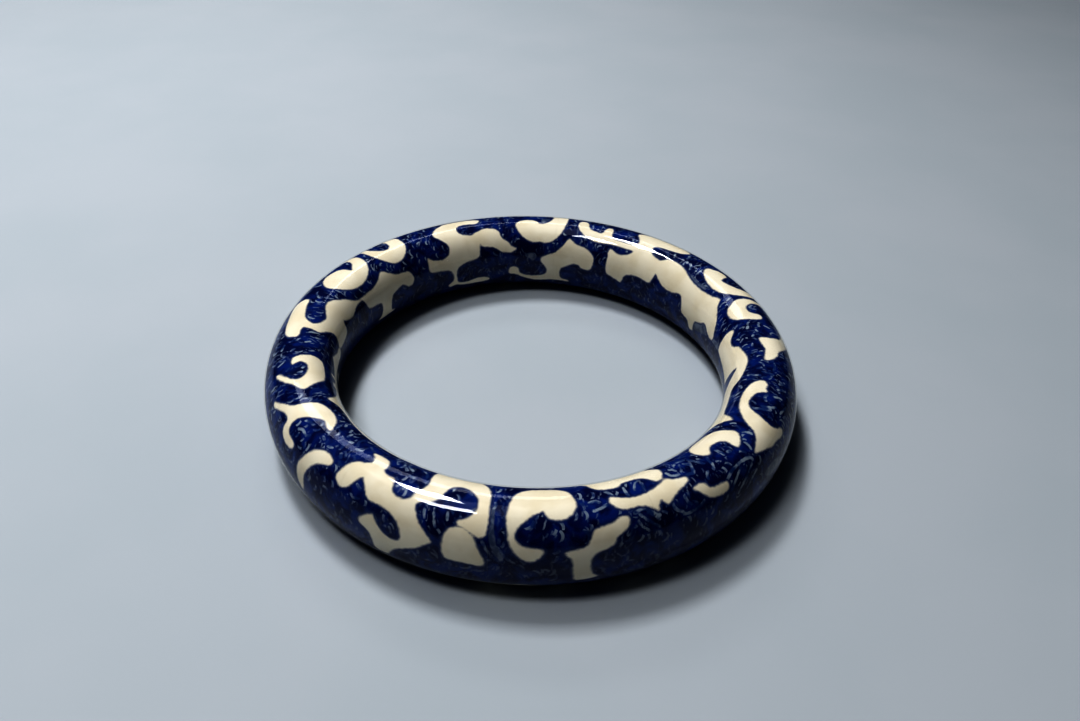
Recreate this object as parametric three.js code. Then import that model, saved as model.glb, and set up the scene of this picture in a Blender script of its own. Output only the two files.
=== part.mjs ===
// Closed round bangle bracelet, lying flat on one face: a turned core ring, twelve
// strips of printed paper wrapped round its section, and a thin clear gloss coat.
// Millimetres, +Z up. The origin is the centre of the ring on the surface it lies on.
import * as THREE from "three";
import {
  mergeGeometries,
  mergeVertices,
} from "three/addons/utils/BufferGeometryUtils.js";

// Driving dimensions of the finished ring.
const WRIST_DIAMETER = 58; // clear opening that the hand passes through
const SECTION_WIDTH = 10.5; // radial
const SECTION_HEIGHT = 12.7;
const LAND_WIDTH = 1.2; // narrow flat that the ring lies on, top and bottom alike

// Layers, from the outside in.
const COAT_THICKNESS = 0.15;
const PAPER_THICKNESS = 0.12;
const LAYER_GAP = 0.03; // keeps each glued layer a solid of its own
const LIP_GAP = 0.3; // where a wrapped layer's two edges meet, on the inner wall

// Strips round the ring, counter-clockwise seen from above, from the +X side.
const STRIP_COUNT = 12;
const FIRST_SEAM_DEG = 24;
const SEAM_GAP = 0.1; // between neighbouring strips, at the centre line

// How finely the round shapes are divided.
const RING_STEPS = 60; // a multiple of STRIP_COUNT, so that all layers share their facets
const QUARTER_STEPS = 4; // facets in a quarter of the section

const CENTRE_RADIUS = (WRIST_DIAMETER + SECTION_WIDTH) / 2;
const HALF_LAND = LAND_WIDTH / 2;
const PAPER_INSET = COAT_THICKNESS + LAYER_GAP;
const CORE_INSET = PAPER_INSET + PAPER_THICKNESS + LAYER_GAP;
const QUARTER_TURN = Math.PI / 2;
const LATHE_OFFSET = QUARTER_TURN; // LatheGeometry starts a quarter turn before +X
const MERGE_DISTANCE = 1e-4;

// One quarter of the section's outline, from startAngle on, measured in the section with
// 0 pointing away from the wrist and a quarter turn pointing up. side is 1 on the outer
// half and -1 on the half beside the wrist.
function quarterOutline(startAngle, side, halfWidth, halfHeight) {
  const points = [];
  for (let i = 0; i <= QUARTER_STEPS; i++) {
    const angle = startAngle + (i * QUARTER_TURN) / QUARTER_STEPS;
    const across = side * HALF_LAND + (halfWidth - HALF_LAND) * Math.cos(angle);
    points.push(new THREE.Vector2(across, halfHeight * Math.sin(angle)));
  }
  return points;
}

// The section's outline, this far inside the finished surface, about the section's own
// centre. It runs from the lower lip at the inner wall, under the ring and over the top,
// to the upper lip.
function wrapOutline(inset) {
  const halfWidth = SECTION_WIDTH / 2 - inset;
  const halfHeight = SECTION_HEIGHT / 2 - inset;
  const underInner = quarterOutline(2 * QUARTER_TURN, -1, halfWidth, halfHeight);
  const underOuter = quarterOutline(3 * QUARTER_TURN, 1, halfWidth, halfHeight);
  const overOuter = quarterOutline(0, 1, halfWidth, halfHeight);
  const overInner = quarterOutline(QUARTER_TURN, -1, halfWidth, halfHeight);
  underInner[0].y = -LIP_GAP / 2;
  overInner[QUARTER_STEPS].y = LIP_GAP / 2;
  return [...underInner, ...underOuter, ...overOuter.slice(1), ...overInner];
}

// A layer wrapped round the section: its outer outline, and back along its inner one.
function layerOutline(inset, thickness) {
  return [...wrapOutline(inset), ...wrapOutline(inset + thickness).reverse()];
}

function positionsOnly(geometry) {
  geometry.deleteAttribute("normal");
  geometry.deleteAttribute("uv");
  return geometry;
}

function turnedInsideOut(geometry) {
  const corners = geometry.index.array;
  for (let i = 0; i < corners.length; i += 3) {
    [corners[i], corners[i + 1]] = [corners[i + 1], corners[i]];
  }
  return geometry;
}

// The flat end of a swept section, where the sweep stands at this lathe angle.
function sectionEnd(outline, latheAngle) {
  const end = new THREE.ShapeGeometry(new THREE.Shape(outline));
  return positionsOnly(end).rotateY(latheAngle - QUARTER_TURN);
}

// Sweeps a section outline round the ring, from startAngle through sweepAngle, and closes
// the two ends where the sweep isn't a whole turn.
function sweptRound(outline, steps, startAngle = 0, sweepAngle = 2 * Math.PI) {
  const placed = outline.map(
    (point) =>
      new THREE.Vector2(CENTRE_RADIUS + point.x, SECTION_HEIGHT / 2 + point.y),
  );
  const start = startAngle + LATHE_OFFSET;
  const loop = [...placed, placed[0]];
  const shells = [
    positionsOnly(new THREE.LatheGeometry(loop, steps, start, sweepAngle)),
  ];
  if (sweepAngle < 2 * Math.PI) {
    shells.push(sectionEnd(placed, start));
    shells.push(turnedInsideOut(sectionEnd(placed, start + sweepAngle)));
  }
  const solid = mergeVertices(mergeGeometries(shells), MERGE_DISTANCE);
  solid.rotateX(QUARTER_TURN); // the lathe's axis becomes +Z
  solid.computeVertexNormals();
  return solid;
}

function namedMesh(name, geometry, look) {
  const mesh = new THREE.Mesh(geometry, new THREE.MeshStandardMaterial(look));
  mesh.name = name;
  return mesh;
}

// The hidden ring that everything else is glued to.
function coreRing() {
  const look = { color: 0xc8a876, roughness: 0.7, metalness: 0 };
  return namedMesh("core_ring", sweptRound(wrapOutline(CORE_INSET), RING_STEPS), look);
}

// One strip of printed paper between two neighbouring seams.
function paperStrip(number) {
  const pitch = (2 * Math.PI) / STRIP_COUNT;
  const margin = SEAM_GAP / 2 / CENTRE_RADIUS;
  const geometry = sweptRound(
    layerOutline(PAPER_INSET, PAPER_THICKNESS),
    RING_STEPS / STRIP_COUNT,
    margin,
    pitch - 2 * margin,
  );
  const look = { color: 0x16255c, roughness: 0.45, metalness: 0 };
  const name = "paper_strip_" + String(number).padStart(2, "0");
  const strip = namedMesh(name, geometry, look);
  strip.rotation.z = THREE.MathUtils.degToRad(FIRST_SEAM_DEG) + (number - 1) * pitch;
  return strip;
}

// The clear coat over the strips.
function glossCoat() {
  const look = {
    color: 0xfaf3dc,
    roughness: 0.05,
    metalness: 0,
    transparent: true,
    opacity: 0.25,
  };
  const geometry = sweptRound(layerOutline(0, COAT_THICKNESS), RING_STEPS);
  return namedMesh("gloss_coat", geometry, look);
}

const printedPaper = new THREE.Group();
for (let number = 1; number <= STRIP_COUNT; number++) {
  printedPaper.add(paperStrip(number));
}

const bangle = new THREE.Group();
bangle.add(coreRing(), printedPaper, glossCoat());

export default bangle;
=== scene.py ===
"""Looks of a closed round bangle: a turned core, printed paper strips and a clear gloss coat.

The ring's own coordinates are used for the print. An angle in degrees runs counter-clockwise
from +X, seen from above, so that 270 is the front. A height in millimetres runs along the
section's outline: 0 at the widest point of the outer wall, about 9.3 on top, about 18.6 at
the narrowest point of the inner wall, and negative under the ring.
"""

import math
from functools import partial

import bpy
import numpy as np
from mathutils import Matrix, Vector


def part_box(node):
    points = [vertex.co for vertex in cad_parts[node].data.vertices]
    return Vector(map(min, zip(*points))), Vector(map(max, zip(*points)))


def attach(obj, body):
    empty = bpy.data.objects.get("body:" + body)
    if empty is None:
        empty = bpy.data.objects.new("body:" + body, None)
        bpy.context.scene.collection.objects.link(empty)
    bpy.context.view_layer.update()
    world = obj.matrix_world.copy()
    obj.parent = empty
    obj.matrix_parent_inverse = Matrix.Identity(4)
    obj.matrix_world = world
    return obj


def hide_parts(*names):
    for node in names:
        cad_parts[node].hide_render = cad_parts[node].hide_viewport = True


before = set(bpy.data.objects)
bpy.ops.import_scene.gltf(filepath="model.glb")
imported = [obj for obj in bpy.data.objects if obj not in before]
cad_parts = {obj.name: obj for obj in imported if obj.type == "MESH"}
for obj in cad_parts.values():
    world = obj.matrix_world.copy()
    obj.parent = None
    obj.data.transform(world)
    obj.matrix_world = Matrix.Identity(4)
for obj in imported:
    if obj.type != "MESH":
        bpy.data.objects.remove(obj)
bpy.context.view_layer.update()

MM = 0.001
FULL_TURN = 360.0
TOUCH = 0.001  # millimetres within which two CAD points count as level

# Sizes read from the frame, in millimetres.
coat_low, coat_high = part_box("gloss_coat")
land_radii = [
    vertex.co.xy.length
    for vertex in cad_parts["gloss_coat"].data.vertices
    if coat_high.z - vertex.co.z < TOUCH * MM
]
CENTRE_RADIUS = (max(land_radii) + min(land_radii)) / 2 / MM
HALF_LAND = (max(land_radii) - min(land_radii)) / 2 / MM
HALF_WIDTH = coat_high.x / MM - CENTRE_RADIUS
HALF_HEIGHT = (coat_high.z - coat_low.z) / 2 / MM
strip_nodes = sorted(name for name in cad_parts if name.startswith("paper_strip_"))
PAPER_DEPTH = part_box(strip_nodes[0])[0].z / MM
CORE_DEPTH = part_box("core_ring")[0].z / MM
DEGREE = math.radians(1) * CENTRE_RADIUS  # one degree along the ring's centre line

# Gaps that keep glued layers and strips apart, in millimetres.
LAYER_GAP = 0.02
SEAM_SLIT = 0.015

# How finely the visible layers are divided, in millimetres and in steps.
PRINT_SPACING = 0.25
COAT_SPACING = 0.7
CORE_SPACING = 1.5
SECTION_SAMPLES = 2400
CURVE_STEPS = 5  # between two knots of a motif's outline
SMOOTH_BELOW_DEG = 50  # edges that bend more than this stay sharp

FAR_FROM_PRINT = 5.0  # the distance given to places that no motif is near
MOTIF_MARGIN = 1.0  # how far round a motif its distances are worked out
ROW_DRIFT = 7.0  # how far along the paper the small marks keep their direction
ROW_LEAN = 4.5  # how strongly that direction swings, in radians
PAINTED_SHADE_BELOW = 6.8  # height over the floor under which the small marks are faintest: painted shade on the lower ring
PAINTED_SHADE_ENDS_ABOVE = 11.7  # height over which they are strongest, where the painted shade ends


# ---------------------------------------------------------------------------- the section


def section_table():
    """Rows of arc length, radial place, height and outward normal along the finished outline."""
    turn = np.linspace(-math.pi, math.pi, SECTION_SAMPLES + 1)
    side = np.where(np.abs(turn) <= math.pi / 2, 1.0, -1.0)
    across = side * HALF_LAND + (HALF_WIDTH - HALF_LAND) * np.cos(turn)
    up = HALF_HEIGHT * np.sin(turn)
    steps = np.hypot(np.diff(across), np.diff(up))
    length = np.concatenate([[0.0], np.cumsum(steps)])
    length -= np.interp(0.0, turn, length)
    normal_across = HALF_HEIGHT * np.cos(turn)
    normal_up = (HALF_WIDTH - HALF_LAND) * np.sin(turn)
    size = np.hypot(normal_across, normal_up)
    return length, across, up, normal_across / size, normal_up / size


SECTION = section_table()
GIRTH = SECTION[0][-1] - SECTION[0][0]


def ring_points(degrees, heights, depth):
    """Points this far under the finished surface, in metres, for arrays of one shape."""
    across, up, out, rise = (
        np.interp(heights, SECTION[0], column) for column in SECTION[1:]
    )
    radius = CENTRE_RADIUS + across - depth * out
    level = HALF_HEIGHT + up - depth * rise
    turn = np.radians(degrees)
    return np.stack([radius * np.cos(turn), radius * np.sin(turn), level], -1) * MM


def grid_faces(rows, columns, first, close_rows, close_columns, inside_out):
    """Quads of a grid whose vertices start at index first, row by row."""
    row = np.arange(rows if close_rows else rows - 1)
    column = np.arange(columns if close_columns else columns - 1)
    row, column = np.meshgrid(row, column, indexing="ij")
    next_row = (row + 1) % rows
    next_column = (column + 1) % columns
    corners = [
        row * columns + column,
        next_row * columns + column,
        next_row * columns + next_column,
        row * columns + next_column,
    ]
    if inside_out:
        corners.reverse()
    return first + np.stack(corners, -1).reshape(-1, 4)


def rim_faces(rows, columns, inner_first):
    """Quads that join an open grid's border to the same grid, copied from inner_first on."""
    border = list(range(columns))
    border += [row * columns + columns - 1 for row in range(1, rows)]
    border += [(rows - 1) * columns + column for column in range(columns - 2, -1, -1)]
    border += [row * columns for row in range(rows - 2, 0, -1)]
    border = np.array(border)
    after = np.roll(border, -1)
    return np.stack([after, border, border + inner_first, after + inner_first], -1)


def mesh_object(name, points, faces):
    mesh = bpy.data.meshes.new(name)
    mesh.from_pydata(points.tolist(), [], faces.tolist())
    mesh.polygons.foreach_set("use_smooth", [True] * len(mesh.polygons))
    mesh.set_sharp_from_angle(angle=math.radians(SMOOTH_BELOW_DEG))
    mesh.validate()
    piece = bpy.data.objects.new(name, mesh)
    bpy.context.scene.collection.objects.link(piece)
    return piece


def layer(name, degrees, heights, depth, inner_depth, closed):
    """A shell between two depths. closed is true where it goes all the way round both ways."""
    grid = np.meshgrid(degrees, heights, indexing="ij")
    outer = ring_points(*grid, depth).reshape(-1, 3)
    inner = ring_points(*grid, inner_depth).reshape(-1, 3)
    rows, columns = len(degrees), len(heights)
    faces = [
        grid_faces(rows, columns, 0, closed, closed, False),
        grid_faces(rows, columns, len(outer), closed, closed, True),
    ]
    if not closed:
        faces.append(rim_faces(rows, columns, len(outer)))
    return mesh_object(name, np.concatenate([outer, inner]), np.concatenate(faces))


def steps_round(spacing):
    return round(2 * math.pi * (CENTRE_RADIUS + HALF_WIDTH) / spacing)


def whole_ring_grid(spacing):
    """Angles and heights that divide the whole ring evenly, for a grid closed both ways."""
    degrees = np.linspace(0, FULL_TURN, steps_round(spacing), endpoint=False)
    heights = np.linspace(-GIRTH / 2, GIRTH / 2, round(GIRTH / spacing), endpoint=False)
    return degrees, heights


# -------------------------------------------------------------------- motifs of the print

# Cream shapes, as (degrees, millimetres) round each outline.
CREAM = {
    "cloud_inside_right": [
        (317, 18.5), (320, 16), (322.5, 14.3), (324.3, 12.6), (325.3, 11.3), (326.2, 11.6),
        (327.3, 12.5), (328.8, 13.5), (331, 14.1), (334.5, 14.5), (338, 14.8), (341, 14.9),
        (342.6, 14.5), (343.6, 13.8), (345.5, 13.1), (348.5, 12.5), (351.5, 12.2),
        (354.5, 12.5), (357, 13), (359, 13.4), (360.2, 14.1), (362, 14.55), (364, 14.3),
        (365.5, 13.5), (366.7, 13.3), (367.4, 14.2), (367.5, 15.5), (367.3, 17.2),
        (366.5, 17.8), (362, 18.1), (356, 18.2), (352, 18.4), (346, 18.7), (338, 18.9),
        (328, 19.2),
    ],
    "cloud_back_right": [
        (12.9, 17.3), (13.3, 17.9), (15, 18.1), (16.8, 17.8), (18.3, 17.2), (20, 17),
        (22, 17.6), (24.5, 18.2), (25.3, 18.8), (25.6, 19.8), (26, 20.6), (27.6, 20.7),
        (28.2, 20), (28.7, 19.3), (30.5, 19), (32, 18.7),
        (32.6, 17.8), (33.2, 16.8), (34, 16.1), (35.5, 16), (37.5, 16.4), (40, 16.6),
        (42.5, 16.4), (44.5, 15.8), (46, 15.2), (46.7, 15), (47.1, 15.8), (47.8, 16.9),
        (49, 17.1), (52, 16.9), (54.5, 16.9), (57, 17.3), (58.2, 17.9), (58.7, 18.8),
        (59.5, 19.2), (61, 18.9), (63, 18.6), (64.6, 18.2), (65.1, 17), (65.1, 15.2),
        (65.3, 14.3), (64.8, 13.7), (63, 14.1), (60.8, 14.25), (58.6, 13.8), (57.2, 13.1),
        (57.7, 12.75), (60, 12.8), (63, 12.75), (66, 12.8), (70, 13), (73, 12.6),
        (75.3, 11.8), (76.9, 10.7), (77.4, 9.5), (77, 8.4), (75.5, 8.2), (74.6, 8.9),
        (74.2, 9.8), (73.2, 10.6), (71.5, 10.9), (69.8, 11.1), (68.9, 10.6), (68.8, 9.7),
        (68.2, 9), (67.2, 8.9), (66.5, 9.6), (66.2, 10.8), (65.4, 11.6), (63, 11.8),
        (60, 11.8), (57.6, 11.7), (57, 11), (57.2, 10.2), (58.2, 9.3), (59, 8.6),
        (58.6, 7.8), (56, 7), (51, 6.4), (46, 6.6), (42.8, 7.4), (42.9, 8.4), (44.5, 9.1),
        (47.5, 9.6), (50.3, 9.9), (51.8, 10.4), (51.9, 11.3), (51, 12.1), (49.3, 12.5),
        (47.3, 12.6), (46, 12.2), (45, 11.7), (43, 11.55), (40, 11.7), (37.5, 12.1),
        (35, 12.7), (32, 13.1), (29, 13.2), (26, 13.05), (23.5, 12.8), (21.3, 12.25),
        (20.2, 12.3), (19, 13.2), (17, 14.1), (15.3, 14.8), (14, 15.9),
    ],
    "arch_12": [
        (8.1, 8.3), (8.2, 9.6), (8.7, 10.8), (9.6, 11.9), (11, 12.5), (12.8, 12.7),
        (14.5, 12.5), (15.8, 11.8), (16.2, 11.2), (17.2, 10.4), (17.6, 9.5), (17.2, 8.2),
        (16.6, 6.8), (16.2, 5.2), (15.4, 5.2), (15.2, 6.8), (15.1, 8.2), (14.6, 9),
        (13.6, 9.5), (12.2, 9.6), (11, 9.2), (10.3, 8.5), (9.8, 8), (9, 7.9),
    ],
    "crescent_26": [
        (19, 5.5), (18.3, 6.8), (18.5, 8), (19.3, 9), (20.2, 9.9), (21.5, 10.8),
        (23.5, 11.4), (26, 11.65), (28.5, 11.5), (31, 11), (33, 10.2), (34, 9.3),
        (33.6, 8.6), (32.5, 8.3), (31.5, 7.7), (29.5, 7.4), (28.2, 7.8), (27.9, 8.6),
        (27.4, 9.2), (26.2, 9.2), (24.5, 8.9), (23, 8.4), (21.8, 7.6), (21.2, 6.5),
        (20.8, 5.2),
    ],
    "cloud_78": [
        (70.1, 16), (70, 17), (70.6, 18.2), (72, 18.55), (74, 18.4), (75, 17.9),
        (76.5, 17.75), (78, 18), (80, 18.6), (81.4, 19.1), (81.9, 20), (81.7, 21),
        (80.8, 21.7), (79, 22), (79, 22.4), (84, 22.3), (90, 22.7), (94, 22), (97, 21),
        (99.5, 20.6), (99.9, 19.9), (99.3, 19.2), (97.3, 19.2), (96.4, 19.7), (96, 20.6),
        (94, 21.2), (91, 21.4), (88, 21.1), (86.6, 20.5), (86.4, 19.6), (87.2, 18.8),
        (88.3, 18.1), (88.6, 17.4), (87.5, 16.9), (85.5, 16.5), (83.5, 16), (81.8, 15.1),
        (80.6, 14.3), (79.8, 13.6), (79.1, 13.3), (78.3, 13.6), (77, 14.1), (75.5, 14.3),
        (73.5, 14.6), (71.8, 15), (70.8, 15.5),
    ],
    "crescent_89": [
        (81.5, 7), (81.1, 8.5), (81.3, 10), (81.8, 11.5), (82.6, 12.6), (83.9, 13.5),
        (85.5, 14.1), (87.5, 14.4), (89, 14.2), (91, 14.3), (93, 14), (95, 13.2),
        (96.3, 12.2), (97, 11.2), (96.6, 10.3), (95.3, 9.6), (93.5, 9.3), (91.5, 9.4),
        (90.3, 9.9), (89.6, 10.4), (88.3, 10.5), (87, 10), (86, 9.2), (85.3, 8.2),
        (85.2, 7),
    ],
    "cloud_115": [
        (97.3, 15.6), (99, 16.1), (101, 16.05), (102.5, 15.9), (104, 15.3), (105.8, 14.9),
        (108, 14.75), (109, 14.5), (109.5, 14.1), (109.9, 14.6), (110.1, 15.8),
        (110.8, 16.5), (112.5, 16.8), (115, 17), (117, 17.4), (118.4, 17.9), (119, 18.8),
        (118.9, 20), (118.3, 21), (116.5, 21.4), (114, 21.4), (111.5, 21), (109, 21),
        (107, 21.4), (107.2, 22), (109.5, 22.2), (114, 22.3), (117, 22), (119, 21.6),
        (121, 21.9), (121.8, 21.3), (120.3, 20.6), (119.9, 19.8), (120.2, 18.9),
        (121.3, 18), (123, 17.7), (126, 17.45), (128.5, 17.2), (129.1, 16.6), (129, 15.5),
        (128.7, 14.6), (127.5, 15.1), (125.5, 15.5), (123.5, 15.6), (121.5, 15.2),
        (120.5, 14.5), (120.2, 13.7), (120.8, 12.9), (121.8, 12.2), (122.8, 11.6),
        (123.6, 11), (123.5, 10.2), (122.4, 9.4), (121, 8.7), (119.5, 8.2), (118, 7.6),
        (112, 7.6), (108.3, 8.2), (108.2, 9), (109.5, 9.5), (111.5, 9.3), (114, 9.3),
        (115.6, 9.9), (116.1, 10.8), (115.5, 11.6), (114, 12.1), (112, 12.3), (110.6, 12),
        (109, 11.7), (107, 11.3), (105, 11.5), (103.8, 11.7), (102.8, 12.3),
        (102.3, 13.2), (101.3, 13.8), (100, 14.3), (99, 15), (98, 15.3),
    ],
    "arch_139": [
        (135, 6), (133.6, 7.5), (133.3, 9), (133.5, 10.3), (134.2, 11.4), (135.4, 12.3),
        (137.2, 13), (139.2, 13.15), (141, 12.9), (142.8, 12), (144, 11), (144.6, 9.8),
        (144.8, 8.4), (144.6, 7), (143.8, 6), (142.8, 6.6), (142.9, 7.8), (142.2, 8.8),
        (141, 9.5), (139.7, 9.95), (138.3, 9.8), (137.4, 9.2), (137.1, 8.3), (137.2, 7.2),
        (136.8, 6),
    ],
    "crescent_155": [
        (148.3, 6), (147.5, 7.3), (147.4, 8.8), (147.9, 10), (148.8, 11.1), (150.2, 12),
        (152.2, 12.7), (155, 13.15), (158, 13), (160.5, 12.4), (162.3, 11.5), (163.5, 10.4),
        (163.8, 9.4), (162.9, 8.5), (161.5, 7.8), (159.5, 7.3), (157.3, 7.4), (155.6, 7.9),
        (154.3, 8.8), (153.9, 9.6), (153.3, 10), (152.3, 9.5), (151.2, 9), (150.4, 8.3),
        (150.2, 7.2), (150.2, 6),
    ],
    "cloud_back_left": [
        (136.2, 16), (135.6, 17), (136.5, 17.9), (138, 18), (139.2, 17.5), (140.5, 17.15),
        (142, 17.3), (143.8, 17.6), (145.3, 18), (146, 18.8), (146.3, 20), (145.8, 21),
        (144.5, 21.5), (148, 21.8), (152, 21.6), (151, 21), (150.5, 20.2), (150.4, 19),
        (151, 18.1), (152.5, 17.8), (155, 17.6), (156.8, 17.3), (157.6, 16.6),
        (158.1, 15.8), (159, 15.2), (160.5, 15.15), (162, 15.2), (163.5, 15.5), (166, 16),
        (168, 15.8), (169.8, 15.4), (170.9, 15), (171.3, 15.4), (171.6, 16.3), (172.5, 17),
        (175, 17.3), (178, 17.3), (180, 16.9), (179.4, 16.2), (178.9, 15.6), (178.8, 14.8),
        (179.5, 14), (180.8, 13.2), (182.2, 12.5), (182.8, 11.8), (182.4, 10.8),
        (182.2, 9.6), (183.5, 9.3), (185.3, 9.3), (186.1, 8.8), (185.9, 7.9), (184.8, 7.3),
        (183, 6.9), (180, 6.6), (177, 6.4), (172, 5.8), (170.3, 6.8), (170, 7.9),
        (171, 8.3), (173, 8.45), (175.5, 8.8), (178, 9.3), (179.5, 10), (180.2, 10.8),
        (179.6, 11.5), (178.3, 12), (176.3, 12.4), (174.6, 12.1), (173, 11.7),
        (171.2, 11.3), (169.5, 11.3), (167.8, 11.8), (166.3, 12.5), (164.6, 13.1),
        (162.8, 14), (160.8, 14.65), (158.8, 14.85), (156, 14.9), (153, 14.9),
        (150.8, 14.6), (148.8, 14.1), (147.6, 13.5), (146.7, 13.3), (145.8, 13.5),
        (144.8, 13.9), (143.3, 14.5), (141.5, 15), (139, 15.2), (137.3, 15.4),
    ],
    "ribbon_inside_left": [
        (180.5, 16.8), (183.5, 16.7), (186.5, 16), (187.6, 15.8), (189, 16.2), (192, 16.6),
        (196, 16.6), (200, 16.4), (203.5, 15.9), (206.5, 15.1), (208.7, 14.1), (210, 13.2),
        (211, 12.4), (211.8, 12.5), (212.6, 13.2), (213.6, 13.9), (215.5, 14.3), (218, 14.1),
        (221, 13.8), (224, 13.6), (227, 13.4), (231, 13.3), (236, 13.2), (240, 13.2),
        (241, 13.8), (236, 15.2), (230, 16.5), (222, 18), (212, 18.3), (200, 18), (190, 17.8),
        (183, 18), (180.5, 17.6),
    ],
    "crescent_200": [
        (193.8, 10.5), (193.6, 11.8), (194.1, 13), (195.2, 13.5), (198, 13.6),
        (200.5, 13.5), (202.8, 13), (204.3, 12), (205.6, 11), (206.7, 10), (206.7, 9.4),
        (205.3, 8.8), (204, 8.2), (202.8, 7.5), (201.2, 6.8), (199.8, 6.3), (198.9, 6.2),
        (199.3, 6.8), (200.8, 7.5), (202.3, 8.3), (202.9, 9.1), (202.4, 9.9), (201.2, 10.5),
        (199.5, 10.9), (197.8, 10.9), (196.7, 10.5), (196.2, 9.8), (196.6, 9.2), (197, 8.8),
        (195.6, 8.75), (194.4, 9.1), (193.9, 9.8),
    ],
    "crescent_217": [
        (205.5, 4.8), (207.5, 5.7), (209.5, 6.6), (211, 7.3), (211.6, 8.3), (212.1, 9.3),
        (213, 10.3), (214.5, 11), (216.5, 11.4), (219, 11.4), (221, 10.9), (222.3, 10.2),
        (223, 9.4), (221.5, 9.35), (219.8, 9.7), (218.3, 9.4), (217, 8.7), (215.8, 7.9),
        (214.9, 6.9), (214.7, 6), (215, 5.2), (216, 4.7), (217.5, 4.6), (218.6, 4.4),
        (218.6, 3.7), (217.3, 3.4), (215.5, 3.4), (213.9, 3.9), (213.3, 4.8), (213.2, 5.6),
        (212.3, 5.9), (210.5, 5.8), (209.3, 5.4), (208, 5), (206.5, 4.5),
    ],
    "stroke_225": [
        (222, 0.5), (221.7, 2), (222, 3.2), (222.9, 4.4), (224, 5.6), (225.3, 6.4),
        (227, 6.85), (229, 6.8), (229.9, 6.5), (229.8, 5.95), (228.3, 5.5), (226.7, 4.9),
        (225.6, 4.1), (224.7, 3.1), (224.1, 2), (224, 0.5), (223.2, -0.8),
    ],
    "cloud_front_left": [
        (232.3, 5.3), (232.6, 6.2), (233.3, 7.3), (234.4, 8.2), (236, 8.7), (237, 9.3),
        (236.6, 10), (235.5, 10.6), (237.5, 10.8), (239.5, 10.6), (240.3, 9.9), (240.4, 9),
        (241.5, 8.6), (243.5, 8.5), (243.9, 7.8), (244.6, 6.9), (245.8, 6.5), (247.5, 6.5),
        (248.6, 7), (249.2, 7.9), (250, 8.7), (250.5, 9.6), (250.2, 10.6), (250, 12),
        (250.2, 13.5), (251, 15), (255, 15.5), (259.5, 15), (260.2, 13.6), (260.6, 12.6),
        (261.5, 11.9), (262.5, 11), (263.2, 9.8), (263.4, 8), (263.6, 6), (263.3, 4.6),
        (262.3, 4.2), (261, 4.6), (259.6, 5.1), (258.5, 5.3), (258.3, 5.8), (259.6, 6.1),
        (260.6, 6.7), (261.3, 7.4), (261.4, 8.3), (260.9, 9.2), (259.5, 10), (257.8, 10.4),
        (256.2, 10.35), (254.9, 9.9), (254.2, 9), (253.8, 8), (252.5, 7.3), (250.8, 7),
        (249.9, 6.4), (250.4, 5.4), (251.3, 4.4), (252.5, 3.6), (253.9, 2.4), (253, 1.9),
        (251.5, 1), (249.5, 0.3), (247, -0.7), (245.6, -2), (244.6, -3.2), (242.4, -3),
        (242.3, -1.2), (241.9, 0.2), (240.8, 0.9), (239.6, 1.4), (239.8, 2.1), (241, 2.8),
        (242.2, 3.2), (242.8, 2.7), (243.5, 2.1), (244.8, 1.3), (246.6, 0.85), (248, 1.2),
        (248.3, 2.1), (247.8, 3.1), (246.9, 3.9), (245.4, 4.5), (243.4, 4.8), (241.3, 4.8),
        (240.2, 5.1), (239.3, 5.9), (238.4, 6.6), (237.6, 6.95), (236.9, 6.4), (236.1, 5.5),
        (235.3, 4.8), (234.1, 4.5), (233, 4.8),
    ],
    "blob_259": [
        (256.2, 3.8), (256, 2.4), (256.2, 1.2), (257, 0.5), (260, 0.4), (263, 0.3),
        (263.3, 1.2), (262.6, 2.2), (261.9, 3.2), (261.2, 4.2), (259.8, 4.95), (258.2, 5),
        (256.9, 4.6),
    ],
    "crescent_273": [
        (267.3, 5), (266.9, 6.5), (267, 8), (267.4, 9.3), (268.3, 10.4), (269.8, 11.2),
        (271.5, 11.6), (274, 11.65), (276.3, 11.5), (278.2, 11), (279.3, 10), (279.8, 9),
        (279.5, 8), (278.6, 7.3), (277.2, 6.8), (275.3, 6.8), (274.2, 7.2), (273.6, 7.9),
        (272.6, 7.7), (271, 7.1), (269.8, 6.4), (268.9, 5.8), (268.4, 5), (268.6, 4.3),
        (269.5, 3.7), (271, 3.4), (273, 3.2), (273.4, 2.7), (272.6, 2), (271.2, 1.5),
        (269.7, 2), (268.4, 2.9), (267.6, 4),
    ],
    "limb_283": [
        (277.2, 2.6), (279, 2.9), (280.8, 3.2), (281.7, 4), (282.3, 5), (283.8, 5.35),
        (285.8, 5.6), (287.1, 6), (288.1, 6.15), (288.9, 5.9), (288.9, 5.4), (288.4, 4.8),
        (287.4, 4.3), (286.3, 3.9), (285.8, 3.1), (284.3, 2.6), (282.5, 2.2), (281.7, 1.4),
        (281.6, 0), (282.2, -1.4), (283, -2.2), (279.5, -2.6), (278.8, -1.2), (278.6, 0.3),
        (278.4, 1.6),
    ],
    "cloud_291": [
        (282.8, 12.6), (283.6, 11.5), (284.6, 10.7), (286.5, 10.35), (289, 10.3),
        (290.2, 10.8), (292, 11), (294, 11), (295.5, 10.6), (296.6, 9.9), (297.6, 9.5),
        (298.8, 9.7), (299.6, 10.4), (299.8, 11.2), (299, 12), (298, 12.9), (298.5, 14),
        (296, 15), (290, 15.5), (285, 15), (282, 14), (281.8, 13.2),
    ],
    "ribbon_295": [
        (286.3, 8.2), (286.8, 8.9), (288.2, 8.6), (290, 8.25), (292.5, 8.15), (295, 8.4),
        (297.5, 8.9), (299.3, 9.3), (300.5, 8.8), (302, 8.6), (303.1, 8.4), (303.2, 7.9),
        (302.2, 7.6), (300.6, 7.3), (299, 6.8), (297.5, 6.2), (296.8, 6.3), (296, 6.9),
        (295.3, 6.4), (294.9, 5.8), (294.2, 6.1), (293.2, 6.6), (291.5, 6.95), (290, 6.95),
        (288.7, 7), (287.3, 7.4),
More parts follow.
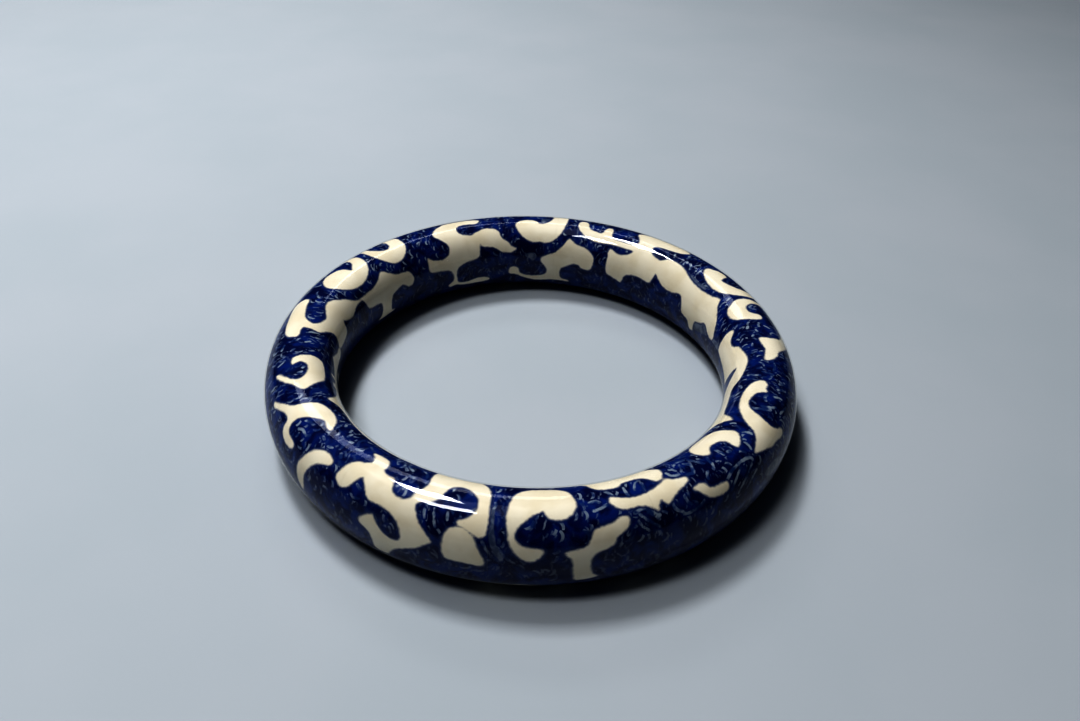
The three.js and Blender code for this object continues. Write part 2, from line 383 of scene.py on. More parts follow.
    ],
    "hook_307": [
        (303.3, 6.6), (304.8, 6.8), (305.9, 6.5), (306.4, 5.9), (307.6, 5.55),
        (309.5, 5.45), (310.8, 5.2), (310.7, 4.5), (309.5, 4.2), (307.8, 4.3), (306.3, 4.6),
        (305.2, 5.2), (304.3, 5.9),
    ],
    "crescent_315": [
        (309.6, 11), (310, 12), (311.2, 12.7), (313, 13.2), (315.5, 13.4), (317.8, 13.2),
        (319.3, 12.5), (320.4, 11.5), (321.3, 10.4), (321.9, 9.6), (321.2, 8.9),
        (319.9, 8.3), (318.6, 7.95), (317.9, 8.3), (317.9, 9.3), (317.2, 10), (315.8, 10.4),
        (314.2, 10.5), (313, 10.2), (312.2, 9.6), (311.2, 9.7), (310.3, 10.1),
    ],
    "crescent_333": [
        (320.8, 5.8), (322, 6.4), (323.6, 7), (324.7, 7.7), (325.5, 8.7), (326.5, 9.6),
        (328.2, 10.5), (330.3, 11.3), (333, 11.8), (336, 12), (338.8, 11.7), (340.8, 11.1),
        (342, 10.3), (342.4, 9.5), (341.3, 9), (339.8, 9.1), (338.7, 8.8), (338.1, 9.4),
        (337.2, 10.1), (335.5, 10.5), (333.5, 10.65), (331.8, 10.3), (330.8, 9.7),
        (330, 8.8), (329.4, 7.8), (329.2, 6.8), (329.5, 6), (330.4, 5.3), (331.6, 4.8),
        (332, 4.3), (331.2, 3.9), (330, 4), (328.5, 4.3), (326.3, 4.4), (324.3, 4.9),
        (322.5, 5.3),
    ],
    "tail_355": [
        (351, 9.6), (353, 9.5), (355.5, 9.3), (357, 9.6), (359, 9.85), (360, 9.7),
        (360.1, 9), (360, 8), (360.4, 7.1), (360.9, 6.3), (362.2, 5.6), (364, 5),
        (364.6, 4.2), (363, 3.9), (360, 4.6), (357.7, 5.8), (356, 6.8), (354.8, 7.4),
        (353.2, 7.7), (351.8, 8.3), (351, 9),
    ],
}

# Blue shapes cut out of the cream ones.
BLUE = {
    "wedge_350": [
        (345.8, 19.5), (346.5, 17.3), (348, 15.9), (349.8, 14.6), (350.8, 14.15),
        (351.3, 15), (351.5, 16.5), (351.9, 19.5),
    ],
}

# Grey-blue shapes of half strength.
GREY = {
    "shade_21": [
        (16.5, 18.3), (18, 17.4), (20, 17.1), (22, 17.7), (24.4, 18.3), (25.3, 19),
        (25.3, 19.8), (23, 19.7), (20, 19.1), (18, 18.7),
    ],
    "cap_10": [
        (7.2, 17.3), (9, 17.05), (12, 17.3), (13.2, 17.7), (13.5, 18.1), (10, 18),
        (7.3, 17.9),
    ],
    "halo_32": [
        (27, 12.7), (30, 12.95), (33, 12.8), (36, 12.3), (38.5, 11.85), (36.5, 11.95),
        (33.5, 12.15), (30.5, 12.35), (28, 12.3),
    ],
    "patch_92": [
        (90.2, 17.2), (91.5, 17.9), (92.5, 17.4), (94.2, 17), (94, 16.5), (92, 16.3),
        (90.5, 16.4),
    ],
    "eye_88": [
        (86.2, 9.2), (87, 9.9), (88.2, 10.3), (88.9, 10), (89, 9.2), (88, 8.6), (86.8, 8.5),
    ],
    "stripe_264": [
        (263.9, 4.7), (263.8, 7.6), (264.6, 7.6), (264.9, 5.2), (265.6, 3.4), (266.8, 1.9),
        (266.2, 1.4), (264.7, 2.9),
    ],
    "patch_325": [
        (321.5, 2.2), (324, 2.5), (327, 2.2), (329, 1.2), (327, 0.6), (323.5, 0.9),
    ],
}

# Thin grey-blue strokes: half the width of each in millimetres, and the places it goes through.
STROKES = [
    # front, from the broad C to the waves
    (0.22, [(282.4, 8.6), (283.4, 8.75), (284.3, 8.5)]),
    (0.2, [(282.8, 7.4), (284.2, 7.6), (285.6, 8)]),
    (0.2, [(286.2, 9.9), (286.9, 9.6), (287.4, 8.9)]),
    (0.2, [(290.1, 9.9), (290.2, 9.2), (290.3, 8.5)]),
    (0.22, [(294.2, 9.9), (294, 9.2), (293.9, 8.7)]),
    (0.15, [(292, 9.1), (292.6, 9.9), (293.4, 10.4), (294.4, 10.5)]),
    (0.2, [(300.3, 10.1), (300.8, 9.5), (301.6, 9.2), (302.5, 9.15)]),
    (0.2, [(301.6, 10.4), (302.3, 10.2), (302.6, 9.8)]),
    (0.22, [(303.8, 8.6), (304.5, 8.6), (305.2, 8.4), (305.8, 8.9), (306.3, 9.6)]),
    (0.2, [(305.2, 10.3), (305.9, 9.9), (306.6, 9.9)]),
    (0.2, [(304.4, 11.1), (305.4, 11), (306.2, 10.9)]),
    (0.22, [(306.4, 11.8), (307.6, 11.6)]),
    (0.2, [(306.9, 10.5), (307.6, 9.9), (308.4, 9.3), (309, 8.9)]),
    (0.2, [(310.7, 9.4), (310.3, 8.8), (310.2, 8.1), (309.6, 7.5)]),
    (0.18, [(308.2, 7.7), (307.5, 7.3), (307.2, 6.8)]),
    (0.24, [(313.8, 9.5), (314.1, 8.9), (314.1, 8.4)]),
    (0.26, [(315.4, 8.3), (315.9, 8.2)]),
    (0.16, [(311.4, 8.2), (312.2, 7.9)]),
    (0.22, [(309.9, 4.9), (311.2, 5.5), (313, 6), (315.5, 6.25), (318.3, 6), (319.2, 5.4)]),
    (0.18, [(311.2, 3.9), (312.6, 4.6), (314.2, 5.3), (315.2, 5.6)]),
    (0.18, [(312.8, 2.9), (314.6, 3.7), (316.6, 4.4), (318.4, 5)]),
    (0.16, [(315.4, 2.7), (317.4, 3.4), (319.2, 3.9)]),
    (0.2, [(290.3, 6.2), (291.6, 6.5), (293.3, 6.1), (294.8, 5.2)]),
    (0.18, [(291.2, 5.9), (292.3, 5.1), (293.6, 4.2), (294.5, 3.7)]),
    (0.14, [(292.6, 6), (293.6, 5.4), (294.7, 4.7)]),
    (0.16, [(290.6, 5.2), (291.2, 4.4), (292.4, 3.7)]),
    (0.2, [(297.9, 6), (298.2, 5.2), (299.4, 4.6)]),
    (0.18, [(300.8, 6.4), (300.9, 5.6), (301.6, 5)]),
    (0.2, [(299.6, 4.2), (301.2, 4.1), (303.2, 4.3), (304.4, 4.7)]),
    # beside the seam at the front
    (0.16, [(262.9, 3.9), (263.6, 3), (264.8, 1.9), (266.2, 1.2)]),
    (0.16, [(264.9, 3.7), (266, 2.9), (267, 2), (268.6, 1.2)]),
    # front left
    (0.2, [(241.3, 12.1), (241, 11.4), (241.6, 10.9)]),
    (0.2, [(243.4, 12.2), (244.2, 11.4), (245.6, 10.8)]),
    (0.2, [(247.6, 11.6), (248.6, 11.2), (249.2, 10.4)]),
    (0.2, [(245.7, 9.9), (246.8, 9.7)]),
    (0.18, [(225.2, 11.9), (226, 11.2)]),
    (0.2, [(227, 11.1), (227.3, 10.3)]),
    (0.2, [(230, 11.7), (230.2, 10.8), (231, 10.1)]),
    (0.18, [(233.2, 11.4), (234.2, 11), (235, 10.9)]),
    (0.2, [(228.6, 9.9), (229.5, 10.1)]),
    (0.2, [(223.6, 8.1), (224.6, 7.9)]),
    (0.24, [(230.2, 7.9), (230.7, 7.5)]),
    (0.18, [(226.4, 7.6), (227.6, 7.8)]),
    (0.2, [(237.4, 5.8), (238.3, 5.5)]),
    (0.18, [(236.8, 4.4), (237.6, 4.1), (238.8, 4.3)]),
    (0.18, [(244.6, 3.8), (244.8, 3.1)]),
    (0.16, [(246, 2.6), (246.4, 1.9)]),
    (0.15, [(251.8, 6.2), (252.2, 5.2)]),
    (0.15, [(253.6, 6.6), (254, 5.3), (254.4, 4.5)]),
    (0.14, [(256.2, 6.5), (256.4, 5.6)]),
    # left
    (0.24, [(198.4, 10.35), (198.9, 10.1)]),
    (0.24, [(200.3, 9.9), (200.6, 9.5)]),
    (0.18, [(198.3, 8.3), (199, 7.8)]),
    (0.2, [(216.9, 7.7), (217.8, 8), (219.3, 8.2)]),
    (0.2, [(217.4, 6.3), (218.6, 6.7), (220.2, 6.5), (221, 6.9)]),
    (0.16, [(221.4, 5.9), (221.8, 5.2)]),
    (0.2, [(183.4, 12.2), (183.8, 11.2), (184.3, 10.4)]),
    (0.18, [(186, 13.3), (186.9, 12.8)]),
    (0.18, [(191.4, 11.9), (191.8, 11.2)]),
    (0.18, [(187.8, 11.2), (188.4, 10.5)]),
    (0.18, [(189.2, 13), (190.4, 12.6)]),
    (0.18, [(186.8, 9.6), (187.8, 9.1)]),
    (0.18, [(191, 9), (192, 8.6)]),
    (0.18, [(218.6, 12.9), (219.9, 12.6)]),
    (0.2, [(222.8, 11.9), (223.6, 11.4)]),
    (0.2, [(195, 7.7), (195.8, 7.2), (196.1, 6.6)]),
    (0.24, [(189.2, 7.4), (190.6, 7.1)]),
    (0.2, [(209, 5.1), (210.4, 4.7)]),
    # front right
    (0.24, [(331.6, 9.6), (332, 8.9), (332.6, 8), (333.3, 7.4)]),
    (0.2, [(333.2, 8.7), (334, 7.6), (334.9, 6.9)]),
    (0.22, [(335.4, 8.5), (336.6, 8.85), (337.6, 8.6)]),
    (0.18, [(337.7, 7.7), (338.3, 7.1), (338.7, 6.3)]),
    (0.2, [(340.7, 7.4), (341.4, 6.8), (341.9, 6.1)]),
    (0.2, [(342.9, 7.3), (343.4, 6.8), (343.9, 7.3)]),
    (0.18, [(343.6, 8.9), (344.6, 8.6)]),
    (0.18, [(334.6, 5.9), (336, 5.6), (337.6, 5.3)]),
    (0.18, [(335.3, 13.8), (335.6, 12.9), (335.9, 12.4)]),
    (0.2, [(336.9, 13.7), (337.4, 12.9), (338, 12.4)]),
    (0.18, [(339.6, 12.6), (340.4, 12.8), (341.4, 13.2)]),
    (0.24, [(344.7, 12), (344.2, 11.1), (344.4, 10.2)]),
    (0.22, [(345.9, 9.9), (345.7, 9), (345.4, 8.4)]),
    (0.2, [(347.1, 10.7), (347.5, 10.1)]),
    (0.18, [(347, 8.4), (348.6, 8.2), (350, 8.3)]),
    (0.2, [(353.8, 11.4), (354.1, 10.8)]),
    (0.18, [(356.8, 11.2), (357.9, 11.1)]),
    (0.22, [(322.8, 8.9), (323.4, 8.3), (323.7, 7.8)]),
    (0.2, [(320.4, 7.7), (320.6, 7.1), (320.4, 6.5)]),
    (0.2, [(322.4, 13.3), (322.2, 12.4)]),
    # right
    (0.24, [(0.9, 10.7), (1.3, 10.6)]),
    (0.26, [(4.6, 11.1), (5.3, 10.9)]),
    (0.18, [(0.2, 12.8), (1, 12.3)]),
    (0.18, [(3.6, 12.9), (4.2, 12.4)]),
    (0.18, [(4.8, 9.2), (6.2, 9.1), (6.7, 8.4)]),
    (0.18, [(4.4, 7.6), (5.2, 8.3)]),
    (0.18, [(2.6, 9.8), (3.6, 9.9)]),
    (0.18, [(9.7, 14.9), (9.9, 14)]),
    (0.2, [(6.8, 12.9), (7.5, 12.3)]),
    (0.2, [(18.4, 11.4), (19, 10.8)]),
    (0.2, [(35, 11), (36, 10.5)]),
    (0.2, [(36.8, 11.4), (37.6, 10.8), (38.6, 10.2)]),
    (0.2, [(39.4, 10.6), (40, 10.1)]),
    (0.2, [(41.2, 10.3), (42, 10.1)]),
    (0.2, [(44.4, 10.4), (45, 9.9)]),
    (0.2, [(46, 11.2), (46.6, 10.7), (47.6, 10.5)]),
]

# Where the print can't be seen from the front, it goes on with copies of the same motifs.
# Each rule turns them round the ring, shifts them along the section, and keeps the copies
# that then lie wholly between low and high and between the two angles.
HIDDEN_COPIES = [
    {"turn": -180, "shift": -9.6, "low": -14.0, "high": 5.2, "degrees": (-10, 190)},
    {"turn": -270, "shift": -9.6, "low": -14.0, "high": 4.6, "degrees": (50, 74)},
    {"turn": -237, "shift": -9.6, "low": -14.0, "high": 4.6, "degrees": (71, 87)},
    {"turn": -184, "shift": -3.2, "low": 0.6, "high": 6.6, "degrees": (102, 130)},
    {"turn": 180, "shift": 10.4, "low": 15.0, "high": 33.5, "degrees": (185, 355)},
]


def smooth_curve(knots):
    """A closed Catmull-Rom curve through the knots."""
    before, after, later = (np.roll(knots, shift, axis=0) for shift in (1, -1, -2))
    share = np.linspace(0, 1, CURVE_STEPS, endpoint=False)[:, None, None]
    curve = 0.5 * (
        2 * knots
        + (after - before) * share
        + (2 * before - 5 * knots + 4 * after - later) * share**2
        + (3 * knots - before - 3 * after + later) * share**3
    )
    return curve.transpose(1, 0, 2).reshape(-1, 2)


def distance_to_line(points, start, end):
    along = end - start
    offset = points - start
    share = np.clip(offset @ along / max(along @ along, 1e-12), 0, 1)
    gap = offset - share[:, None] * along
    return np.sqrt((gap**2).sum(1))


def distance_to_outline(points, outline):
    """Signed distance of each point to a closed outline, negative inside."""
    nearest = np.full(len(points), np.inf)
    inside = np.zeros(len(points), bool)
    for start, end in zip(outline, np.roll(outline, -1, axis=0)):
        along = end - start
        nearest = np.minimum(nearest, distance_to_line(points, start, end))
        crosses = (start[1] > points[:, 1]) != (end[1] > points[:, 1])
        if along[1]:
            reach = start[0] + (points[:, 1] - start[1]) * along[0] / along[1]
            inside ^= crosses & (points[:, 0] < reach)
    return np.where(inside, -1, 1) * nearest


def distance_to_stroke(points, stroke, half_width):
    """Signed distance of each point to a stroke with round ends, negative inside."""
    lines = [distance_to_line(points, start, end) for start, end in zip(stroke, stroke[1:])]
    return np.min(lines, axis=0) - half_width


def nearest_motif(points, motifs):
    """Signed distance of each point to the nearest motif, the ring's wrap included.

    A motif is a curve in millimetres along the ring and the section, and a function of
    points and the curve that gives the distances.
    """
    result = np.full(len(points), FAR_FROM_PRINT)
    round_ring = FULL_TURN * DEGREE
    for curve, distance in motifs:
        low = curve.min(0) - MOTIF_MARGIN
        high = curve.max(0) + MOTIF_MARGIN
        for turns in (-1, 0, 1):
            for girths in (0, 1):
                moved = points + (turns * round_ring, girths * GIRTH)
                near = ((moved > low) & (moved < high)).all(1)
                if near.any():
                    found = distance(moved[near], curve)
                    result[near] = np.minimum(result[near], found)
    return result


def knots_of(places):
    return np.array(places, float) * (DEGREE, 1.0)


def outlines_of(shapes):
    return [(smooth_curve(knots_of(shape)), distance_to_outline) for shape in shapes]


def strokes_of(strokes):
    """Each stroke's curve is the first half of the closed one that goes there and back."""
    motifs = []
    for half_width, places in strokes:
        there_and_back = knots_of(places + places[-2:0:-1])
        steps_there = (len(places) - 1) * CURVE_STEPS
        curve = smooth_curve(there_and_back)[: steps_there + 1]
        motifs.append((curve, partial(distance_to_stroke, half_width=half_width)))
    return motifs


def hidden_copies(shapes):
    """The copies that HIDDEN_COPIES asks for and that fit the place it gives."""
    copies = []
    for rule in HIDDEN_COPIES:
        for shape in shapes:
            moved = [(at + rule["turn"], up + rule["shift"]) for at, up in shape]
            ups = [up for at, up in moved]
            ats = [at for at, up in moved]
            first, last = rule["degrees"]
            fits = rule["low"] < min(ups) and max(ups) < rule["high"]
            if fits and first < min(ats) and max(ats) < last:
                copies.append(moved)
    return copies


def print_fields(degrees, heights):
    """For a grid of places: signed distance to the cream, the grey and the stroked print."""
    grid = np.meshgrid(degrees, heights, indexing="ij")
    points = np.stack([grid[0].ravel() * DEGREE, grid[1].ravel()], -1)
    cream_shapes = list(CREAM.values())
    cream = nearest_motif(points, outlines_of(cream_shapes + hidden_copies(cream_shapes)))
    blue = nearest_motif(points, outlines_of(BLUE.values()))
    grey_shapes = list(GREY.values())
    grey = nearest_motif(points, outlines_of(grey_shapes + hidden_copies(grey_shapes)))
    stroke = nearest_motif(points, strokes_of(STROKES))
    return {"cream_mm": np.maximum(cream, -blue), "grey_mm": grey, "stroke_mm": stroke}


# ------------------------------------------------------------------------------- materials


def srgb(red, green, blue):
    """A colour given by its 0 to 255 screen values."""
    channels = [channel / 255 for channel in (red, green, blue)]
    linear = [c / 12.92 if c <= 0.04045 else ((c + 0.055) / 1.055) ** 2.4 for c in channels]
    return (*linear, 1.0)


# The mix node's colour sockets have the same names as its other ones, so they go by number.
MIX_SHARE, MIX_FIRST, MIX_SECOND = 0, 6, 7
MIX_RESULT = 2


class Nodes:
    """A short way to write a material's nodes."""

    def __init__(self, name):
        self.material = bpy.data.materials.new(name)
        self.material.use_nodes = True
        self.tree = self.material.node_tree
        self.tree.nodes.clear()
        self.place = self.add("ShaderNodeTexCoord").outputs["Object"]

    def add(self, kind, inputs=(), **settings):
        node = self.tree.nodes.new(kind)
        for key, value in settings.items():
            setattr(node, key, value)
        for key, value in dict(inputs).items():
            if isinstance(value, bpy.types.NodeSocket):
                self.tree.links.new(value, node.inputs[key])
            else:
                node.inputs[key].default_value = value
        return node

    def math(self, operation, first, second=0.0, third=0.0):
        inputs = {0: first, 1: second, 2: third}
        return self.add("ShaderNodeMath", inputs, operation=operation).outputs[0]

    def noise(self, size_mm, detail=2.0, distortion=0.0, rough=0.5):
        inputs = {
            "Vector": self.place,
            "Scale": 1 / (size_mm * MM),
            "Detail": detail,
            "Distortion": distortion,
            "Roughness": rough,
        }
        return self.add("ShaderNodeTexNoise", inputs).outputs["Fac"]

    def span(self, value, low, high):
        """0 at low and 1 at high, smoothly."""
        inputs = {"Value": value, "From Min": low, "From Max": high}
        node = self.add("ShaderNodeMapRange", inputs, interpolation_type="SMOOTHSTEP")
        return node.outputs["Result"]

    def mix(self, share, first, second):
        """The first colour where share is 0 and the second where it is 1."""
        inputs = {MIX_SHARE: share, MIX_FIRST: first, MIX_SECOND: second}
        node = self.add("ShaderNodeMix", inputs, data_type="RGBA")
        return node.outputs[MIX_RESULT]

    def attribute(self, name):
        return self.add("ShaderNodeAttribute", attribute_name=name).outputs["Fac"]

    def bump(self, height, strength, distance_mm):
        inputs = {"Height": height, "Strength": strength, "Distance": distance_mm * MM}
        return self.add("ShaderNodeBump", inputs).outputs["Normal"]

    def surface(self, shader):
        self.add("ShaderNodeOutputMaterial", {"Surface": shader})
        return self.material


def dashes(n, spacing, length, thickness, bend, wander, share):
    """Short bent marks in loose wavy rows over the paper: 1 on a mark, 0 beside it.

    Each cell of a Voronoi pattern may hold one mark, at its own point. share is the share of
    cells that do, and wander is how far a mark's direction may stray from its row's.
    """
    inputs = {"Vector": n.paper, "Scale": 1 / spacing, "Randomness": 0.85}
    cells = n.add("ShaderNodeTexVoronoi", inputs, voronoi_dimensions="2D")
    middle = cells.outputs["Position"]
    chance = n.add("ShaderNodeSeparateColor", {0: cells.outputs["Color"]}).outputs
    offset = n.add("ShaderNodeVectorMath", {0: n.paper, 1: middle}, operation="SUBTRACT")
    inputs = {"Vector": middle, "Scale": 1 / ROW_DRIFT}
    drift = n.add("ShaderNodeTexNoise", inputs).outputs["Fac"]
    lean = n.math("MULTIPLY", n.math("SUBTRACT", drift, 0.5), ROW_LEAN)
    stray = n.math("MULTIPLY", n.math("SUBTRACT", chance[0], 0.5), wander)
    turn = n.math("ADD", math.pi / 2, n.math("ADD", lean, stray))
    inputs = {"Vector": offset.outputs[0], "Angle": turn}
    turned = n.add("ShaderNodeVectorRotate", inputs, rotation_type="Z_AXIS").outputs[0]
    along, across = n.add("ShaderNodeSeparateXYZ", {0: turned}).outputs[:2]
    bow = n.math("MULTIPLY", n.math("MULTIPLY", along, along), bend)
    mean_bow = bend * length**2 / 12
    off_line = n.math("SUBTRACT", n.math("ADD", across, bow), mean_bow)
    beside = n.math("ABSOLUTE", off_line)
    half_length = n.math("MULTIPLY_ADD", chance[1], length / 4, length / 4)
    past_end = n.math("SUBTRACT", n.math("ABSOLUTE", along), half_length)
    gap = n.math("MAXIMUM", n.math("SUBTRACT", beside, thickness / 2), past_end)
    kept = n.math("LESS_THAN", chance[2], share)
    return n.math("MULTIPLY", n.span(gap, 0.07, -0.05), kept)


def printed_paper_material():
    """Cream scrollwork on a flecked navy ground. Edges are spans of distance in millimetres."""
    n = Nodes("printed_paper")
    n.paper = n.add("ShaderNodeAttribute", attribute_name="print_mm").outputs["Vector"]
    ragged = n.math("MULTIPLY", n.math("SUBTRACT", n.noise(0.5, detail=3.0), 0.5), 0.3)
    cream_edge = n.math("ADD", n.attribute("cream_mm"), ragged)
    grey_edge = n.math("ADD", n.attribute("grey_mm"), ragged)

    clouds = n.span(n.noise(2.2, detail=3.0, distortion=0.6), 0.38, 0.66)
    navy = n.mix(clouds, srgb(10, 28, 84), srgb(22, 60, 134))
    curls = dashes(n, spacing=1.3, length=1.5, thickness=0.34, bend=0.6, wander=1.6, share=0.55)
    rows = dashes(n, spacing=0.8, length=1.2, thickness=0.2, bend=0.3, wander=0.8, share=0.7)
    faint_rows = n.math("MULTIPLY", rows, n.span(n.noise(3.0), 0.42, 0.6))
    marks = n.math("MAXIMUM", n.math("MULTIPLY", curls, 0.8), n.math("MULTIPLY", faint_rows, 0.6))
    fleck_blue = n.mix(n.span(n.noise(1.3), 0.38, 0.62), srgb(50, 78, 130), srgb(164, 176, 192))
    stroke_edge = n.math("ADD", n.attribute("stroke_mm"), ragged)
    strokes = n.span(stroke_edge, 0.09, -0.07)
    # The loose marks keep clear of the drawn strokes, and both of the cream.
    loose = n.math("MULTIPLY", marks, n.span(n.attribute("stroke_mm"), 0.12, 0.3))
    drawn = n.math("MAXIMUM", loose, n.math("MULTIPLY", strokes, 0.9))
    # Painted shade: the marks get fainter down the ring, as the lower wall gets less light.
    height = n.add("ShaderNodeSeparateXYZ", {0: n.place}).outputs["Z"]
    painted_shade_fade = n.math("MULTIPLY_ADD", n.span(height, PAINTED_SHADE_BELOW * MM, PAINTED_SHADE_ENDS_ABOVE * MM), 0.6, 0.4)
    # Kept clear of the cream, and dimmed low down by the painted shade.
    clear_of_cream_and_shade = n.math("MULTIPLY", n.span(cream_edge, 0.15, 0.4), painted_shade_fade)
    fleck_share = n.math("MULTIPLY", drawn, clear_of_cream_and_shade)
    ground = n.mix(fleck_share, navy, fleck_blue)

    greys = n.span(n.noise(1.0, detail=3.0), 0.4, 0.65)
    grey = n.mix(greys, srgb(82, 96, 128), srgb(128, 138, 160))
    with_grey = n.mix(n.span(grey_edge, 0.1, -0.12), ground, grey)

    bleed = n.mix(n.span(cream_edge, 0.5, 0.15), with_grey, srgb(52, 70, 118))
    clean = n.span(n.noise(3.5, detail=4.0), 0.35, 0.7)
    cream = n.mix(clean, srgb(243, 237, 225), srgb(235, 227, 211))
    colour = n.mix(n.span(cream_edge, 0.25, -0.15), bleed, cream)

    fibres = n.noise(0.12, detail=4.0, rough=0.7)
    inputs = {
        "Base Color": colour,
        "Roughness": n.math("MULTIPLY_ADD", fibres, 0.2, 0.35),
        "Specular IOR Level": 0.05,
        "Normal": n.bump(fibres, 0.15, 0.02),
    }
    return n.surface(n.add("ShaderNodeBsdfPrincipled", inputs).outputs[0])


def gloss_coat_material():
    """Clear varnish: it reflects at its outer face and lets the print through."""
    n = Nodes("clear_gloss_coat")
    ripple = n.bump(n.noise(2.6, detail=1.0), 0.25, 0.03)
    outer_face = n.math("SUBTRACT", 1.0, n.add("ShaderNodeNewGeometry").outputs["Backfacing"])
    fresnel = n.add("ShaderNodeFresnel", {"IOR": 1.47, "Normal": ripple}).outputs[0]
    share = n.math("MULTIPLY", fresnel, outer_face)
    clear = n.add("ShaderNodeBsdfTransparent", {"Color": (0.985, 0.982, 0.966, 1)})
    gloss = n.add("ShaderNodeBsdfAnisotropic", {"Roughness": 0.04, "Normal": ripple})
    inputs = {0: share, 1: clear.outputs[0], 2: gloss.outputs[0]}
    return n.surface(n.add("ShaderNodeMixShader", inputs).outputs[0])


def wood_material():
    """Plain turned wood, sealed, under the paper."""
    n = Nodes("turned_wood")
    stretch = n.add("ShaderNodeMapping", {"Vector": n.place, "Scale": (1.0, 0.12, 1.0)})
    n.place = stretch.outputs[0]
    grain = n.noise(1.2, detail=5.0, distortion=0.4)
    pores = n.noise(0.3, detail=2.0)
    brown = n.mix(n.span(grain, 0.35, 0.65), srgb(206, 166, 112), srgb(150, 104, 60))
    colour = n.mix(n.span(pores, 0.62, 0.75), brown, srgb(110, 74, 42))
    inputs = {
        "Base Color": colour,
        "Roughness": n.span(grain, -1.0, 1.6),
        "Normal": n.bump(pores, 0.3, 0.05),
    }
    return n.surface(n.add("ShaderNodeBsdfPrincipled", inputs).outputs[0])


def floor_material():
    n = Nodes("pale_floor")
    mottle = n.span(n.noise(40.0, detail=3.0), 0.3, 0.7)
    colour = n.mix(mottle, srgb(182, 188, 193), srgb(185, 190, 195))
    inputs = {"Base Color": colour, "Roughness": 0.75, "Specular IOR Level": 0.2}
    return n.surface(n.add("ShaderNodeBsdfPrincipled", inputs).outputs[0])


# ---------------------------------------------------------------------------- the pieces


def finish_piece(piece, material, slot, *nodes):
    piece.data.materials.append(material)
    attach(piece, "root")
    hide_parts(*nodes)


def strip_span(node):
    """The first and last angle of a strip, from the middle of its solid."""
    places = [vertex.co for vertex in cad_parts[node].data.vertices]
    middle = math.degrees(math.atan2(sum(p.y for p in places), sum(p.x for p in places)))
    half = FULL_TURN / len(strip_nodes) / 2 - SEAM_SLIT / 2 / DEGREE
    return middle % FULL_TURN - half, middle % FULL_TURN + half


def printed_strip(node, material):
    """One strip of printed paper, wrapped round the ring between its two seams."""
    first, last = strip_span(node)
    columns = round((last - first) / FULL_TURN * steps_round(PRINT_SPACING))
    degrees = np.linspace(first, last, columns + 1)
    edge = GIRTH / 2 - SEAM_SLIT / 2
    heights = np.linspace(-edge, edge, round(GIRTH / PRINT_SPACING) + 1)
    name = node.replace("paper_strip", "printed_paper")
    back = CORE_DEPTH - LAYER_GAP
    strip = layer(name, degrees, heights, PAPER_DEPTH, back, closed=False)
    for attribute, values in print_fields(degrees, heights).items():
        # The back of the paper is plain cream: deep inside a cream shape, far from the rest.
        side = -1 if attribute == "cream_mm" else 1
        back_values = np.full(len(values), side * FAR_FROM_PRINT)
        both = np.concatenate([values, back_values]).astype(np.float32)
        stored = strip.data.attributes.new(attribute, "FLOAT", "POINT")
        stored.data.foreach_set("value", both)
    around, up = np.meshgrid(degrees * DEGREE, heights, indexing="ij")
    places = np.stack([around.ravel(), up.ravel(), np.zeros(around.size)], -1)
    stored = strip.data.attributes.new("print_mm", "FLOAT_VECTOR", "POINT")
    stored.data.foreach_set("vector", np.tile(places, (2, 1)).astype(np.float32).ravel())
    finish_piece(strip, material, "print", node)


def clear_coat(material):
    degrees, heights = whole_ring_grid(COAT_SPACING)
    back = PAPER_DEPTH - LAYER_GAP
    coat = layer("clear_coat", degrees, heights, 0.0, back, closed=True)
    finish_piece(coat, material, "coat", "gloss_coat")


def turned_core(material):
    degrees, heights = whole_ring_grid(CORE_SPACING)
    grid = np.meshgrid(degrees, heights, indexing="ij")
    points = ring_points(*grid, CORE_DEPTH).reshape(-1, 3)
    faces = grid_faces(len(degrees), len(heights), 0, True, True, False)
    finish_piece(mesh_object("turned_core", points, faces), material, "core", "core_ring")


# ------------------------------------------------------------- floor, lights and the camera

# In metres, as the lamps' places and sizes are.
FLOOR_SIZE = 6.0
CAMERA_DISTANCE = 0.1268
CAMERA_AIM = (0.0012, 0.0006)
CLOSEST_VISIBLE = 0.001

# In degrees.
CAMERA_ELEVATION = 37.667
CAMERA_ROLL = 1.956

# In millimetres.
SENSOR_WIDTH = 36.0
FOCAL_LENGTH = 27.43333

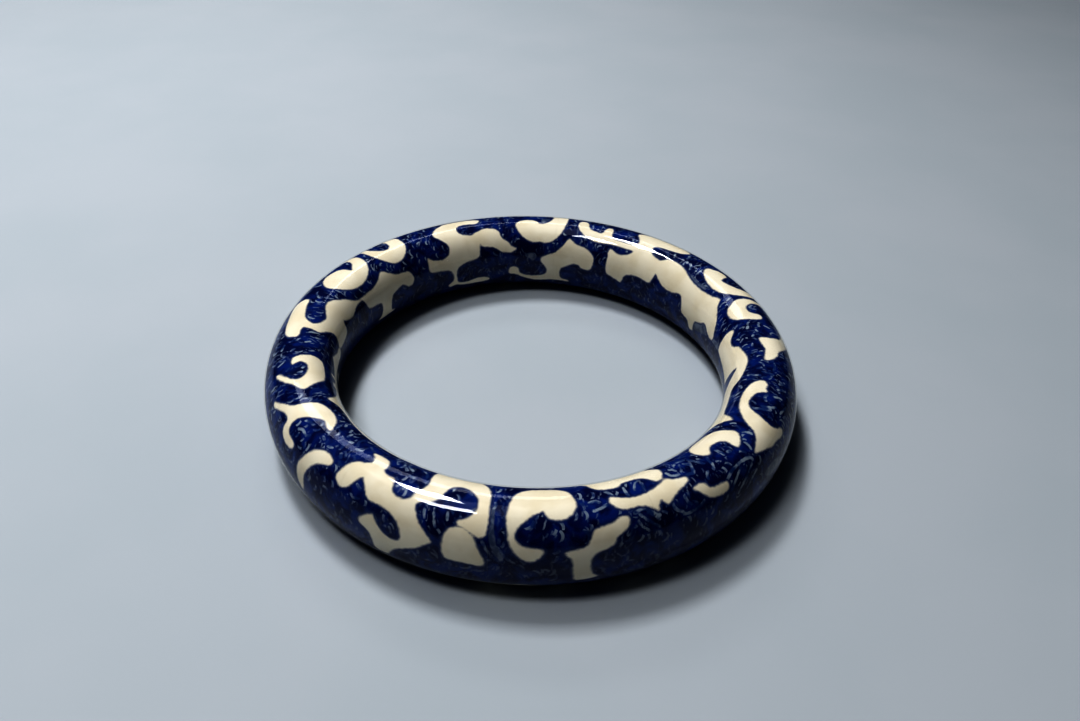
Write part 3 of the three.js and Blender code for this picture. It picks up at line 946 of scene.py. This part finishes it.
# Name, place, size in X and Y, and watts. The two keys make the two bright streaks on the
# gloss, and the strip makes the thin grey band beside them.
LAMPS = [
    ("key_back", (-0.15, 0.19, 0.545), (0.1, 0.14), 1.5),
    ("key_front", (-0.185, -0.11, 0.54), (0.14, 0.11), 0.92),
    ("strip_back", (-0.17, 0.555, 0.556), (0.4, 0.14), 0.45),
    ("ceiling_glow", (-0.15, 0.04, 0.555), (0.3, 0.4), 0.3),
]


def studio_floor():
    half = FLOOR_SIZE / 2
    corners = [(-half, -half, 0), (half, -half, 0), (half, half, 0), (-half, half, 0)]
    floor = mesh_object("studio_floor", np.array(corners), np.array([[0, 1, 2, 3]]))
    floor.data.materials.append(floor_material())


def lamp(name, place, size, watts):
    """A soft rectangular lamp that faces straight down."""
    light = bpy.data.lights.new(name, "AREA")
    light.shape = "RECTANGLE"
    light.size, light.size_y = size
    light.energy = watts
    lamp_object = bpy.data.objects.new(name, light)
    lamp_object.location = place
    bpy.context.scene.collection.objects.link(lamp_object)


def studio_lights():
    for name, place, size, watts in LAMPS:
        lamp(name, place, size, watts)
    world = bpy.data.worlds.new("studio")
    world.use_nodes = True
    background = world.node_tree.nodes["Background"]
    background.inputs["Color"].default_value = (0.7, 0.84, 1.0, 1)
    background.inputs["Strength"].default_value = 0.035
    bpy.context.scene.world = world
    display = bpy.context.scene.view_settings
    display.view_transform = "Standard"
    display.look = "Very High Contrast"
    display.gamma = 0.86


def camera():
    lens = bpy.data.cameras.new("camera")
    lens.sensor_width = SENSOR_WIDTH
    lens.lens = FOCAL_LENGTH
    lens.clip_start = CLOSEST_VISIBLE
    holder = bpy.data.objects.new("camera", lens)
    elevation = math.radians(CAMERA_ELEVATION)
    tilt = Matrix.Rotation(math.pi / 2 - elevation, 4, "X")
    roll = Matrix.Rotation(math.radians(CAMERA_ROLL), 4, "Z")
    aim = Vector((*CAMERA_AIM, HALF_HEIGHT * MM))
    back = Vector((0, -math.cos(elevation), math.sin(elevation))) * CAMERA_DISTANCE
    holder.matrix_world = Matrix.Translation(aim + back) @ tilt @ roll
    bpy.context.scene.collection.objects.link(holder)
    bpy.context.scene.camera = holder


camera()
studio_floor()
studio_lights()
turned_core(wood_material())
paper = printed_paper_material()
for strip_node in strip_nodes:
    printed_strip(strip_node, paper)
clear_coat(gloss_coat_material())
